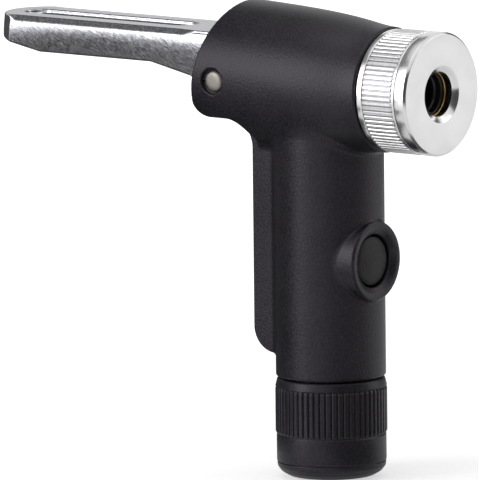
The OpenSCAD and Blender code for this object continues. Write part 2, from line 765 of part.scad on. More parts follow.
// The stem stands in the button and carries the head that closes the bleed seat from inside.
module bleed_stem() {
    color("#b5894a") {
        on_boss(stem_head_x) cylinder(h = button_x - button_top - stem_head_x - end_fit, r = stem_r);
        on_boss(stem_head_x) cylinder(h = stem_head_t, r = stem_head_r);
    }
}

module bleed_oring() {
    color("#1a1a1a") on_boss(stem_head_x + stem_head_t + bleed_cord_r + end_fit)
        o_ring(stem_r + 2 * bleed_cord_r + 2 * cord_gap, bleed_cord_r);
}

module button_spring() {
    color("#c4c6c8") on_boss(pocket_x + seat_gap)
        coil(button_spring_len, skirt_r - 0.6, button_wire_r, button_curls);
}

module bleed_seat() {
    color("#b5894a") on_boss(seat_back_x) tube(seat_len, seat_r, vent_r);
}

module hose_barb() {
    color("#b5894a") difference() {
        union() {
            translate([0, 0, flange_z]) cylinder(h = flange_t, r = flange_r);
            translate([0, 0, flange_z]) cylinder(h = plug_z - flange_z, r = plug_r);
            translate([0, 0, tail_z]) cylinder(h = tail_len + eps, r = tail_r);
            for (i = [0 : barbs - 1]) translate([0, 0, tail_z + i * tail_len / (barbs + 0.6)])
                cylinder(h = tail_len / (barbs + 0.6), r1 = tail_r - 0.1, r2 = tail_r + barb_step);
        }
        translate([0, 0, tail_z - eps]) cylinder(h = far, r = barb_bore_r);
        translate([0, 0, recess_z + plug_len / 2]) o_ring_groove(plug_r + piston_clearance, barb_cord_r);
    }
}

module barb_oring() {
    color("#1a1a1a") translate([0, 0, recess_z + plug_len / 2]) o_ring(plug_r + piston_clearance, barb_cord_r);
}

// The flat rubber gasket between the barb's flange and the spigot.
module barb_gasket() {
    color("#1a1a1a") translate([0, 0, gasket_z]) tube(gasket_t, flange_r, plug_r + end_fit);
}

// A split sleeve that the collar squeezes round the hose.
module clamp_sleeve() {
    wedge_r = clamp_seat_r - end_fit;
    inner_r = clamp_r - clamp_wall;
    color("#403d42") difference() {
        rotate_extrude() polygon([[inner_r, clamp_z], [wedge_r, clamp_z], [wedge_r, clamp_step_z - 0.8],
            [clamp_r, clamp_step_z], [clamp_r, clamp_top_z], [inner_r, clamp_top_z]]);
        for (i = [0 : clamp_slots - 1]) rotate([0, 0, 360 / clamp_slots * (i + 0.5)])
            translate([0, -clamp_slot_w / 2, clamp_step_z + 0.6]) cube([far, clamp_slot_w, far]);
    }
}

module collar() {
    low_r = collar_r - knurl_depth;
    color("#232226") difference() {
        union() {
            translate([0, 0, end_h]) cylinder(h = knurl_z - end_h, r = collar_plain_r);
            translate([0, 0, knurl_z]) knurl_band(collar_knurl_h, collar_r, knurl_depth, collar_knurls);
            translate([0, 0, knurl_top_z]) cylinder(h = collar_top_h, r1 = collar_r - 0.1, r2 = collar_top_r);
        }
        translate([0, 0, spigot_z - 0.4]) cylinder(h = far, r = collar_bore_r);
        translate([0, 0, end_h - eps]) cylinder(h = far, r = clamp_seat_r);
    }
}

// The end ring closes the collar round the hose; its neck snaps into the collar.
module end_ring() {
    color("#1f1e21") difference() {
        union() {
            rotate_extrude() {
                translate([0, end_round]) square([end_r, end_h - end_round]);
                square([end_r - end_round, end_h]);
                translate([end_r - end_round, end_round]) intersection() {
                    circle(r = end_round);
                    translate([-eps, -end_round]) square([end_round + eps, end_round + eps]);
                }
            }
            translate([0, 0, end_h - eps]) cylinder(h = end_neck_h + eps, r = neck_r);
        }
        translate([0, 0, -eps]) cylinder(h = far, r = hose_hole_r);
    }
}

housing();
valve_ring();
ring_washer();
valve_seal();
seal_retainer();
plunger();
piston_oring();
guide_oring();
thrust_plate();
shuttle();
shuttle_oring();
shuttle_spring();
lever();
lever_pin();
button();
bleed_stem();
bleed_oring();
button_spring();
bleed_seat();
hose_barb();
barb_oring();
barb_gasket();
clamp_sleeve();
collar();
end_ring();
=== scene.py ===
import math

import bmesh
import bpy
import numpy as np
from mathutils import Matrix, Vector


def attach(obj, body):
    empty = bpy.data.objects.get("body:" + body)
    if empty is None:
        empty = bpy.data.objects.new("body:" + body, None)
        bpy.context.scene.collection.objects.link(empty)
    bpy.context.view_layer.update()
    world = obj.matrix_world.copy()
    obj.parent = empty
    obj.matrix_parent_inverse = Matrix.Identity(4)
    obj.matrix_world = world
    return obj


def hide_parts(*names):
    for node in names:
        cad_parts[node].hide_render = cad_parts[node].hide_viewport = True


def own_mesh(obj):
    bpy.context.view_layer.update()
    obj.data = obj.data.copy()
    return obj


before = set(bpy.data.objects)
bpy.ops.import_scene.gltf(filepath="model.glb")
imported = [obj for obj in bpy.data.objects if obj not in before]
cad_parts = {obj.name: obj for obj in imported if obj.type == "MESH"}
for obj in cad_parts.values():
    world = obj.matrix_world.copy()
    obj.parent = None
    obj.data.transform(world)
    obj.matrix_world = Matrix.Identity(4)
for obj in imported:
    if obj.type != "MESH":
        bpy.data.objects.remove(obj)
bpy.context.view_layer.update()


# ---------------------------------------------------------------------------------------------------------------
# Housing: barrel, grip, fin and button boss in one shot of glass-filled nylon.
# The moulding has drafted walls, soft hollow corners where the barrel meets the grip, and a fine spark-eroded grain.
# ---------------------------------------------------------------------------------------------------------------


def span(node, axis):
    """The two ends of a CAD node along an axis, in mm."""
    ends = [corner[axis] * 1000 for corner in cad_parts[node].bound_box]
    return round(min(ends), 2), round(max(ends), 2)


def middle(node, axis):
    """The middle of a CAD node along an axis, in mm."""
    return round(sum(span(node, axis)) / 2, 2)


BORE_Z = middle("valve_ring", 2)
BOSS_Z = middle("bleed_seat", 2)
PIN_X, PIN_Z = middle("lever_pin", 0), middle("lever_pin", 2)
SPIGOT_Z, NOSE_X = span("housing", 2)[0], span("housing", 0)[1]

# Sizes in mm: _R is a radius, and _X, _Y and _Z are places of faces and centres.
# The last row but one holds the radii of edges and corners, and the last is the box that the moulding is cut from.
BARREL_R, BARREL_X, BARREL_DRAFT = 14.2, 15.2, 2.1
NECK_IN, NECK_X, NECK_RUN, NECK_SOFT = 2.1, 12.0, 9.5, 2.5
BACK_X, BACK_Z, BACK_R = 51.4, 65.6, 75.0
CHEEK_Z, CHEEK_R = 69.9, 3.4
WEB_X, WEB_R = -12.3, 4.0
FIN_X, FIN_Y, FIN_Z, FIN_R = -14.6, 5.5, 23.8, 5.1
HEEL_Z, HEEL_TOP, HEEL_R = 69.2, 68.4, 5.6
GRIP_R, GRIP_Z = 10.7, 19.7
BOSS_R, BOSS_X, BOSS_DRAFT = 7.75, 11.4, 0.06
NOSE_R, SPIGOT_R, SPIGOT_TOP = 9.97, 8.97, 30.0
SLOT_X, SLOT_Y, SLOT_Z = -9.0, 8.2, 86.6
PIN_HOLE_R, SINK_R, SINK_Y = 2.12, 2.5, 13.1
BORE_R, BORE_X, GUIDE_R, GUIDE_X = 8.0, -2.0, 6.5, -11.0
DISH_R, DISH_X, DISH_SLOPE, DISH_EVEN = 6.45, 10.3, 1.443, 0.5695
WELL_R, WELL_X, SEAT_R = 5.18, 6.18, 3.42
AIR_R, PLUG_R, PLUG_Z, RECESS_R, RECESS_Z = 3.6, 5.06, 23.8, 7.0, 16.0
SHARP, LIP, EDGE, RIM, BOSS_EDGE, SOFT, FIN_ROOT, BARREL_ROOT = 0.05, 0.3, 0.35, 0.4, 0.45, 0.5, 0.8, 1.2
HOUSING_BOX = (-25.0, -15.2, 7.2), (22.6, 15.2, 92.9)


def fillet(a, b, r):
    """Joins two solids, given as signed distances, with a hollow corner of radius r."""
    return np.maximum(r, np.minimum(a, b)) - np.hypot(np.maximum(r - a, 0), np.maximum(r - b, 0))


def meet(a, b, r):
    """Keeps what two solids share, with the new edge rounded to radius r."""
    return -fillet(-a, -b, r)


def pocket(a, b, r):
    """Takes solid b out of solid a and rounds the rim to radius r."""
    return -fillet(-a, b, r)


def barrel_solid(x, y, z):
    """The barrel: it rises a little towards its back and draws in to the neck behind the ring."""
    ahead = NECK_X - x
    run = 0.5 * (ahead + np.sqrt(ahead**2 + NECK_SOFT**2))
    radius = BARREL_R - NECK_IN * np.exp(-run / NECK_RUN)
    rise = np.maximum(BARREL_X + 0.3 - x, 0) * math.tan(math.radians(BARREL_DRAFT))
    return np.hypot(y, z - BORE_Z - rise) - radius


def housing_solid(x, y, z):
    """The whole moulding: first what stands out, then what is cut in."""
    side = np.abs(y)
    back = np.hypot(x - BACK_X, z - BACK_Z) - BACK_R
    under = fillet(CHEEK_Z - z, WEB_X - x, WEB_R)
    profile = meet(meet(back, under, CHEEK_R), x - BARREL_X, SHARP)
    barrel = meet(barrel_solid(x, y, z), profile, EDGE)

    heel = meet(fillet(HEEL_Z - z, FIN_X - x, HEEL_R), z - HEEL_TOP, LIP)
    fin = meet(heel, FIN_Z - z, FIN_R)
    fin = meet(np.maximum(fin, x), side - FIN_Y, EDGE)
    grip = meet(np.hypot(x, y) - GRIP_R, GRIP_Z - z, SOFT)
    grip = np.maximum(grip, z - BORE_Z)
    shell = fillet(fillet(grip, fin, FIN_ROOT), barrel, BARREL_ROOT)

    around_boss = np.hypot(y, z - BOSS_Z)
    boss_r = BOSS_R + BOSS_DRAFT * (BOSS_X - x)
    boss = meet(around_boss - boss_r, x - BOSS_X, BOSS_EDGE)
    shell = fillet(shell, np.maximum(boss, -x), BOSS_EDGE)

    around_bore, around_grip = np.hypot(y, z - BORE_Z), np.hypot(x, y)
    nose = meet(around_bore - NOSE_R, x - NOSE_X, SOFT)
    spigot = meet(around_grip - SPIGOT_R, SPIGOT_Z - z, RIM)
    shell = np.minimum(shell, np.maximum(nose, -x))
    shell = np.minimum(shell, np.maximum(spigot, z - SPIGOT_TOP))

    slot = np.maximum(np.maximum(side - SLOT_Y, z - SLOT_Z), np.maximum(x - SLOT_X, CHEEK_Z - z))
    shell = pocket(shell, slot, RIM)

    around_pin = np.hypot(x - PIN_X, z - PIN_Z)
    sink = meet(around_pin - SINK_R, SINK_Y - side, SHARP)
    shell = pocket(shell, sink, LIP)
    shell = np.maximum(shell, PIN_HOLE_R - around_pin)

    bore = np.minimum(np.maximum(around_bore - BORE_R, BORE_X - x), around_bore - GUIDE_R)
    shell = pocket(shell, np.maximum(bore, GUIDE_X - x), LIP)

    dish = (around_boss - DISH_R - DISH_SLOPE * (x - BOSS_X)) * DISH_EVEN
    dish = np.maximum(dish, DISH_X - x)
    well = np.maximum(around_boss - WELL_R, WELL_X - x)
    seat = np.maximum(around_boss - SEAT_R, -x)
    shell = pocket(shell, dish, LIP)
    shell = pocket(shell, well, LIP / 2)
    shell = np.maximum(shell, -seat)

    air = np.maximum(np.maximum(around_grip - AIR_R, z - BORE_Z), RECESS_Z - z)
    recess = np.maximum(around_grip - RECESS_R, z - RECESS_Z)
    plug = np.maximum(around_grip - PLUG_R, z - PLUG_Z)
    return np.maximum(shell, -np.minimum(air, np.minimum(recess, plug)))


def skin(solid, low, high, step, faces):
    """Meshes a solid, given as its signed distance in mm, on a grid and settles the points on its surface."""
    axes = [np.arange(a, b + step, step) for a, b in zip(low, high)]
    grid = np.meshgrid(*axes, indexing="ij", sparse=True)
    depth = solid(*grid) + np.zeros([len(a) for a in axes])
    inside = depth < 0
    cells = np.array(depth.shape) - 1
    strides = np.array([cells[1] * cells[2], cells[2], 1])
    hits, spots, sheets = [], [], []
    for axis in range(3):
        near, off = [slice(None)] * 3, [slice(None)] * 3
        near[axis], off[axis] = slice(0, -1), slice(1, None)
        crossed = np.argwhere(inside[tuple(near)] != inside[tuple(off)])
        others = [(axis + 1) % 3, (axis + 2) % 3]
        whole = np.all((crossed[:, others] > 0) & (crossed[:, others] < cells[others]), axis=1)
        crossed = crossed[whole]
        ahead = crossed.copy()
        ahead[:, axis] += 1
        here, there = depth[tuple(crossed.T)], depth[tuple(ahead.T)]
        spot = crossed.astype(float)
        spot[:, axis] += here / (here - there)
        corners = []
        for a, b in ((1, 1), (0, 1), (0, 0), (1, 0)):
            cell = crossed.copy()
            cell[:, others[0]] -= a
            cell[:, others[1]] -= b
            corners.append(cell @ strides)
            hits.append(corners[-1])
            spots.append(spot)
        sheet = np.stack(corners, axis=1)
        outward = here < 0
        sheets.append(np.where(outward[:, None], sheet, sheet[:, ::-1]))
    hits, spots, sheets = np.concatenate(hits), np.concatenate(spots), np.concatenate(sheets)
    names, owner = np.unique(hits, return_inverse=True)
    count = np.bincount(owner)
    points = np.stack([np.bincount(owner, spots[:, k]) / count for k in range(3)], axis=1) * step + np.array(low)
    quads = np.searchsorted(names, sheets)

    def settle(points, rounds):
        for _ in range(rounds):
            d, slope = solid(*points.T), slopes(solid, points)
            points = points - np.clip(d, -step, step)[:, None] * slope
        return points

    following = np.roll(quads, -1, axis=1)
    ends, starts = np.concatenate([quads, following]).ravel(), np.concatenate([following, quads]).ravel()
    points = settle(points, 2)
    for _ in range(2):
        total = np.stack([np.bincount(ends, points[starts, k], len(points)) for k in range(3)], axis=1)
        points = settle(total / np.bincount(ends, minlength=len(points))[:, None], 1)
    points = settle(points, 1)

    mesh = bpy.data.meshes.new("skin")
    mesh.from_pydata((points / 1000).tolist(), [], quads.tolist())
    mesh.update()
    full = bpy.data.objects.new("skin", mesh)
    bpy.context.scene.collection.objects.link(full)
    thin = full.modifiers.new("thin", "DECIMATE")
    thin.ratio = min(1.0, faces / (2 * len(quads)))
    graph = bpy.context.evaluated_depsgraph_get()
    lean = bpy.data.meshes.new_from_object(full.evaluated_get(graph))
    bpy.data.objects.remove(full)
    points = np.empty(len(lean.vertices) * 3)
    lean.vertices.foreach_get("co", points)
    points = settle(points.reshape(-1, 3) * 1000, 1)
    lean.vertices.foreach_set("co", (points / 1000).ravel())
    lean.polygons.foreach_set("use_smooth", np.ones(len(lean.polygons), bool))
    lean.update()
    lean.normals_split_custom_set_from_vertices(slopes(solid, points).tolist())
    return lean


def slopes(solid, points):
    """Outward unit normals of a solid at points."""
    reach = 0.02
    across = []
    for axis in range(3):
        shift = np.zeros(3)
        shift[axis] = reach
        across.append(solid(*(points + shift).T) - solid(*(points - shift).T))
    slope = np.stack(across, axis=1)
    return slope / np.maximum(np.linalg.norm(slope, axis=1), 1e-9)[:, None]


def piece(name, mesh, material, body, *nodes):
    """Puts a finished mesh in the scene in place of CAD nodes."""
    mesh.name = name
    mesh.materials.clear()
    mesh.materials.append(material)
    made = bpy.data.objects.new(name, mesh)
    bpy.context.scene.collection.objects.link(made)
    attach(made, body)
    if nodes:
        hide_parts(*nodes)
    return made


class Wire:
    """A node's output that can stand in a sum: each operator adds the Math node for it."""

    def __init__(self, tree, socket):
        self.tree, self.socket = tree, socket

    def math(self, operation, *terms):
        return add_node(self.tree, "ShaderNodeMath", {"operation": operation}, dict(enumerate(terms)))

    def __add__(self, other):
        return self.math("ADD", self, other)

    def __sub__(self, other):
        return self.math("SUBTRACT", self, other)

    def __rsub__(self, other):
        return self.math("SUBTRACT", other, self)

    def __mul__(self, other):
        return self.math("MULTIPLY", self, other)

    def __truediv__(self, other):
        return self.math("DIVIDE", self, other)

    def __pow__(self, other):
        return self.math("POWER", self, other)

    def __abs__(self):
        return self.math("ABSOLUTE", self)

    def __gt__(self, other):
        return self.math("GREATER_THAN", self, other)

    def __lt__(self, other):
        return self.math("LESS_THAN", self, other)

    __radd__ = __add__
    __rmul__ = __mul__


def add_node(tree, kind, settings=None, sockets=None, out=0):
    """Adds a node with its settings first, then the values or wires of its sockets, and gives one output."""
    made = tree.nodes.new(kind)
    for key, value in (settings or {}).items():
        if key == "stops":
            for stop, (at, colour) in zip(made.color_ramp.elements, value):
                stop.position, stop.color = at, (*colour, 1)
        else:
            setattr(made, key, value)
    for key, value in (sockets or {}).items():
        if isinstance(value, Wire):
            tree.links.new(value.socket, made.inputs[key])
        else:
            made.inputs[key].default_value = value
    return Wire(tree, made.outputs[out])


class Finish:
    """A material with one Principled shader."""

    def __init__(self, name, **fixed):
        self.material = bpy.data.materials.new(name)
        self.material.use_nodes = True
        self.tree = self.material.node_tree
        self.shader = self.tree.nodes["Principled BSDF"]
        self.place = self.node("ShaderNodeTexCoord", out="Object")
        for socket, value in fixed.items():
            self.shader.inputs[socket.replace("_", " ")].default_value = value

    def node(self, kind, settings=None, sockets=None, out=0):
        return add_node(self.tree, kind, settings, sockets, out)

    def feed(self, **wires):
        for socket, wire in wires.items():
            self.tree.links.new(wire.socket, self.shader.inputs[socket.replace("_", " ")])

    def noise(self, scale, detail=2.0, roughness=0.5, at=None):
        return self.node("ShaderNodeTexNoise", None,
                         {"Vector": at or self.place, "Scale": scale, "Detail": detail, "Roughness": roughness})

    def ramp(self, wire, *stops):
        return self.node("ShaderNodeValToRGB", {"stops": stops}, {"Fac": wire})

    def mix(self, share, first, second):
        """A colour between two colours, each a wire or three numbers."""
        first, second = (c if isinstance(c, Wire) else (*c, 1) for c in (first, second))
        return self.node("ShaderNodeMix", {"data_type": "RGBA"}, {0: share, 6: first, 7: second}, out=2)

    def apart(self):
        """The place on the piece as three numbers, in metres."""
        return [self.node("ShaderNodeSeparateXYZ", None, {0: self.place}, axis) for axis in range(3)]

    def bump(self, height, strength, distance):
        return self.node("ShaderNodeBump", None, {"Height": height, "Strength": strength, "Distance": distance})


def moulded_plastic(name, dark, light, grain=0.15, rough=0.40):
    """Satin black nylon: fine eroded grain, a faint cloudiness in the colour and in the gloss."""
    plastic = Finish(name, IOR=1.45, Specular_IOR_Level=0.45, Specular_Tint=(0.95, 0.88, 1.0, 1))
    cloud = plastic.noise(95.0, 3.0)
    fine = plastic.noise(2500.0, 2.0)
    plastic.feed(
        Base_Color=plastic.ramp(cloud * 0.3 + fine * 0.7, (0.38, dark), (0.62, light)),
        Roughness=rough + 0.10 * (cloud - 0.5) + 0.12 * (fine - 0.5),
        Normal=plastic.bump(fine, grain, 0.0004),
    )
    return plastic.material


black_nylon = moulded_plastic("black nylon", (0.0026, 0.0023, 0.0036), (0.0172, 0.0158, 0.0206))
piece("housing_shell", skin(housing_solid, *HOUSING_BOX, step=0.36, faces=190000),
      black_nylon, "housing", "housing")


# ---------------------------------------------------------------------------------------------------------------
# Lever: a die-cast zinc channel with a thumb groove, tumbled and brushed bright.
# Its hub turns on the pin between the cheeks, and the cam on it pushes the thrust plate.
# ---------------------------------------------------------------------------------------------------------------

# Sizes in mm from the pin's axis; only the box that the casting is cut from is in the frame's own places.
LEVER_END, LEVER_TOP = round(span("lever", 0)[0] - PIN_X, 2), round(span("lever", 2)[1] - PIN_Z, 2)
LEVER_HALF = span("lever", 1)[1]
TIP_X, TIP_R = -51.3, 8.6
CAM_R, CAM_LIFT, HUB_R, EYE_R = 7.6, 2.36, 9.0, 2.15
CAM_RATE = CAM_LIFT / (math.pi / 2)
CROWN_IN, CROWN_Z, CROWN_RUN = 0.20, 1.5, 5.9
BEVEL_Y, BEVEL_Z, BEVEL_OUT, BEVEL_UP, BEVEL_LENGTH = 7.84, 7.4, 1.3, 0.9, 1.581
FADE_DEPTH, HUB_FADE_X, HUB_FADE, TIP_FADE_X, TIP_FADE = 0.85, -12.6, 4.8, -53.4, 2.6
GROOVE_X, GROOVE_HALF, GROOVE_R, GROOVE_DEPTH = -35.2, 17.6, 3.0, 1.0
WALL, HOLLOW_X, HOLLOW_TOP = 1.8, -7.6, 6.7
BEVEL_EDGE, FLOOR_EDGE = 0.12, 0.6
LEVER_BOX = (-78.6, -8.6, 71.0), (-8.0, 8.6, 87.0)


def outline_distance(points, x, z):
    """Signed distance to a closed outline drawn as [x, z] points."""
    nearest, winding = np.inf, np.zeros(np.broadcast(x, z).shape, bool)
    for (ax, az), (bx, bz) in zip(points, points[1:] + points[:1]):
        ex, ez = bx - ax, bz - az
        along = np.clip(((x - ax) * ex + (z - az) * ez) / (ex * ex + ez * ez), 0, 1)
        nearest = np.minimum(nearest, (x - ax - ex * along) ** 2 + (z - az - ez * along) ** 2)
        if ez != 0:
            spans = (az <= z) != (bz <= z)
            winding ^= spans & (x < ax + (z - az) * ex / ez)
    return np.where(winding, -1, 1) * np.sqrt(nearest)


def lever_outline():
    """The lever from the side: the cam round its foot, the hub, the flat top and the stepped underside."""
    cam = []
    for angle in np.radians(np.arange(-100, 0.1, 5)):
        reach = CAM_R + CAM_RATE * angle
        cam.append((reach * math.cos(angle) - CAM_RATE * math.sin(angle),
                    reach * math.sin(angle) + CAM_RATE * math.cos(angle)))
    hub = [(HUB_R * math.cos(a), HUB_R * math.sin(a))
           for a in np.linspace(math.acos(CAM_R / HUB_R), math.asin(LEVER_TOP / HUB_R), 9)]
    arm = [(LEVER_END, LEVER_TOP), (LEVER_END, 4.3), (-47.2, 1.85), (-19.7, 1.85), (-9.85, -0.25),
           (-3.0, cam[0][1] + 0.5)]
    return cam + hub + arm


LEVER_OUTLINE = lever_outline()


def lever_plan(x, y, inset):
    """Distance to the lever's plan: straight sides and a round tip, drawn in by inset."""
    sides = np.abs(y) - LEVER_HALF + inset
    tip = np.hypot(x - TIP_X, y) - (TIP_R - inset)
    return np.where(x < TIP_X, np.maximum(tip, sides), sides)


def lever_solid(x, y, z):
    """The casting: crowned flanks, a bevel that fades out at both ends, the thumb groove and the hollow under it."""
    x, z = x - PIN_X, z - PIN_Z
    crown = CROWN_IN * np.clip((z - CROWN_Z) / CROWN_RUN, 0, 1.1) ** 3
    body = meet(outline_distance(LEVER_OUTLINE, x, z), lever_plan(x, y, 0) + crown, EDGE)
    bevel = ((np.abs(y) - BEVEL_Y) * BEVEL_OUT + (z - BEVEL_Z) * BEVEL_UP) / BEVEL_LENGTH
    inner = np.clip((x - HUB_FADE_X) / HUB_FADE, 0, 1)
    outer = np.clip((TIP_FADE_X - x) / TIP_FADE, 0, 1)
    body = meet(body, bevel - FADE_DEPTH * inner**1.5 - FADE_DEPTH * outer, BEVEL_EDGE)
    groove = np.hypot(np.maximum(np.abs(x - GROOVE_X) - GROOVE_HALF, 0), y) - GROOVE_R
    body = pocket(body, meet(groove, LEVER_TOP - GROOVE_DEPTH - z, FLOOR_EDGE), LIP)
    hollow = meet(np.maximum(lever_plan(x, y, WALL), x - HOLLOW_X), z - HOLLOW_TOP, FLOOR_EDGE)
    body = pocket(body, hollow, LIP)
    return np.maximum(body, EYE_R - np.hypot(x, z))


cast = Finish("brushed zinc", Metallic=1.0, Specular_Tint=(0.78, 0.78, 0.79, 1))
scratch = cast.node("ShaderNodeMapping", {"vector_type": "TEXTURE"}, {
    "Vector": cast.place, "Scale": (6.0, 1.0, 1.0), "Rotation": (0, 0.5, 0)})
brushed = cast.noise(4400.0, 2.0, 0.6, scratch)
pits = cast.noise(2200.0, 3.0, 0.6)
cast.feed(
    Base_Color=cast.ramp(pits * 0.35 + brushed * 0.65, (0.40, (0.37, 0.375, 0.405)), (0.60, (0.63, 0.635, 0.67))),
    Roughness=0.14 + 0.14 * (brushed - 0.3),
    Normal=cast.bump(brushed * 0.8 + pits * 0.2, 0.045, 0.00006),
)
piece("lever_arm", skin(lever_solid, *LEVER_BOX, step=0.26, faces=150000),
      cast.material, "lever", "lever")


# ---------------------------------------------------------------------------------------------------------------
# Lever pin: a ground steel pin that the lever turns on.
# It is pressed through both cheeks, and its softly domed ends lie just below their surface.
# ---------------------------------------------------------------------------------------------------------------


def turned(profile, segments, place):
    """Revolves a closed profile of (station, radius) points; place puts station, across and up in the row frame."""
    angles = np.linspace(0, 2 * math.pi, segments, endpoint=False)
    profile = np.array(profile, float)
    rings = np.array([place(s, r * math.cos(a), r * math.sin(a)) for s, r in profile for a in angles]) / 1000
    count = len(profile)
    faces = []
    for i in range(count):
        j = (i + 1) % count
        if profile[i][1] < 1e-6 and profile[j][1] < 1e-6:
            continue
        for k in range(segments):
            m = (k + 1) % segments
            faces.append([i * segments + k, j * segments + k, j * segments + m, i * segments + m])
    mesh = bpy.data.meshes.new("turned")
    mesh.from_pydata(rings.tolist(), [], faces)
    bm = bmesh.new()
    bm.from_mesh(mesh)
    bmesh.ops.remove_doubles(bm, verts=bm.verts, dist=1e-7)
    bmesh.ops.recalc_face_normals(bm, faces=bm.faces)
    bm.to_mesh(mesh)
    bm.free()
    for face in mesh.polygons:
        face.use_smooth = True
    mesh.set_sharp_from_angle(angle=math.radians(32))
    return mesh


def rounded(points, steps=5):
    """Turns (station, radius, corner radius) points into a profile with those corners rounded."""
    out = []
    for i, (s, r, bend) in enumerate(points):
        if bend <= 0:
            out.append((s, r))
            continue
        here = np.array((s, r))
        before, after = np.array(points[i - 1][:2]) - here, np.array(points[(i + 1) % len(points)][:2]) - here
        before, after = before / np.linalg.norm(before), after / np.linalg.norm(after)
        half = 0.5 * math.acos(float(np.clip(before @ after, -1, 1)))
        centre = here + (before + after) / np.linalg.norm(before + after) * bend / math.sin(half)
        start, end = here + before * bend / math.tan(half), here + after * bend / math.tan(half)
        a0, a1 = math.atan2(*(start - centre)[::-1]), math.atan2(*(end - centre)[::-1])
        sweep = (a1 - a0 + math.pi) % (2 * math.pi) - math.pi
        for k in range(steps + 1):
            a = a0 + sweep * k / steps
            out.append((centre[0] + bend * math.cos(a), centre[1] + bend * math.sin(a)))
    return out


def across_pin(s, a, b):
    """The pin's row frame: stations run from cheek to cheek."""
    return PIN_X + a, s, PIN_Z + b


pin_end, pin_r, pin_rim = round(span("lever_pin", 1)[1], 1), 2.1, 0.3
pin_half = [(-pin_end - 0.15 + 0.02 * r**2, r, 0) for r in (0, 0.5, 1.0, 1.45)]
pin_half += [(-pin_end, 1.75, pin_rim), (-pin_end + pin_rim, pin_r, pin_rim)]
pin_profile = rounded(pin_half + [(-s, r, bend) for s, r, bend in reversed(pin_half)])
ground = Finish("ground steel", Metallic=1.0, Base_Color=(0.27, 0.250, 0.232, 1))
mottle = ground.noise(1500.0, 3.0)
ground.feed(Roughness=0.46 + 0.2 * (mottle - 0.5), Normal=ground.bump(mottle, 0.15, 0.00004))
piece("pin_rod", turned(pin_profile, 64, across_pin), ground.material, "housing", "lever_pin")


# ---------------------------------------------------------------------------------------------------------------
# Valve ring: turned and knurled aluminium, polished bright.
# It screws on the nose, holds the seal in, and squeezes it when it is tightened.
# ---------------------------------------------------------------------------------------------------------------

RING_X, RING_FACE = span("valve_ring", 0)
RING_BACK = RING_X - 0.3
KNURL_START, KNURL_END = RING_X + 1.2, RING_X + 8.4
KNURL_ROOT, BEZEL_R, MOUTH_R, POCKET_R, THREAD_R = 11.7, 12.05, 4.38, 8.0, 10.08
POCKET_X, THREAD_X = RING_FACE - 2.4, RING_X + 6.6


def along_bore(s, a, b):
    """The bore's row frame: stations run from the back of the barrel towards the valve."""
    return s, a, BORE_Z + b


ring_profile = rounded([
    (RING_BACK, 11.55, 0.0), (RING_BACK + 0.35, 11.9, 0.25), (KNURL_START - 0.05, 11.9, 0.1),
    (KNURL_START + 0.05, KNURL_ROOT, 0), (KNURL_END - 0.05, KNURL_ROOT, 0), (KNURL_END, 11.85, 0),
    (KNURL_END + 0.42, 11.85, 0.08), (KNURL_END + 0.48, 11.5, 0), (KNURL_END + 0.62, 11.5, 0),
    (KNURL_END + 0.66, 11.8, 0.05), (KNURL_END + 0.86, 11.8, 0), (KNURL_END + 1.02, BEZEL_R, 0.1),
    (RING_FACE - 0.42, BEZEL_R, 0.12), (RING_FACE, 11.63, 0.12), (RING_FACE, 5.56, 0.06),
    (RING_FACE - 0.8, MOUTH_R, 0.05), (POCKET_X, MOUTH_R, 0.05), (POCKET_X, POCKET_R, 0),
    (THREAD_X, POCKET_R, 0), (THREAD_X, THREAD_R, 0), (RING_BACK, THREAD_R, 0.2)])


class Pattern:
    """A Geometry Nodes tree with named inputs for its sizes."""

    def __init__(self, name, **sizes):
        self.tree = bpy.data.node_groups.new(name, "GeometryNodeTree")
        self.tree.interface.new_socket("Geometry", in_out="OUTPUT", socket_type="NodeSocketGeometry")
        for size, value in sizes.items():
            kind = {int: "NodeSocketInt", float: "NodeSocketFloat"}[type(value)]
            self.tree.interface.new_socket(size, in_out="INPUT", socket_type=kind)
        self.sizes = sizes
        self.inputs = self.tree.nodes.new("NodeGroupInput")

    def size(self, name):
        return Wire(self.tree, self.inputs.outputs[name])

    def node(self, kind, settings=None, sockets=None, out=0):
        return add_node(self.tree, kind, settings, sockets, out)

    def made(self, geometry, material):
        """Sets the sizes by their identifiers, runs the tree once and gives its result as a plain mesh."""
        whole = self.node("GeometryNodeRealizeInstances", None, {0: geometry})
        finished = self.node("GeometryNodeSetMaterial", None, {"Geometry": whole, "Material": material})
        output = self.tree.nodes.new("NodeGroupOutput")
        self.tree.links.new(finished.socket, output.inputs[0])
        carrier = bpy.data.objects.new("carrier", bpy.data.meshes.new("carrier"))
        bpy.context.scene.collection.objects.link(carrier)
        modifier = carrier.modifiers.new("pattern", "NODES")
        modifier.node_group = self.tree
        for item in self.tree.interface.items_tree:
            if item.item_type == "SOCKET" and item.name in self.sizes:
                modifier[item.identifier] = self.sizes[item.name]
        graph = bpy.context.evaluated_depsgraph_get()
        mesh = bpy.data.meshes.new_from_object(carrier.evaluated_get(graph))
        bpy.data.objects.remove(carrier)
        return mesh


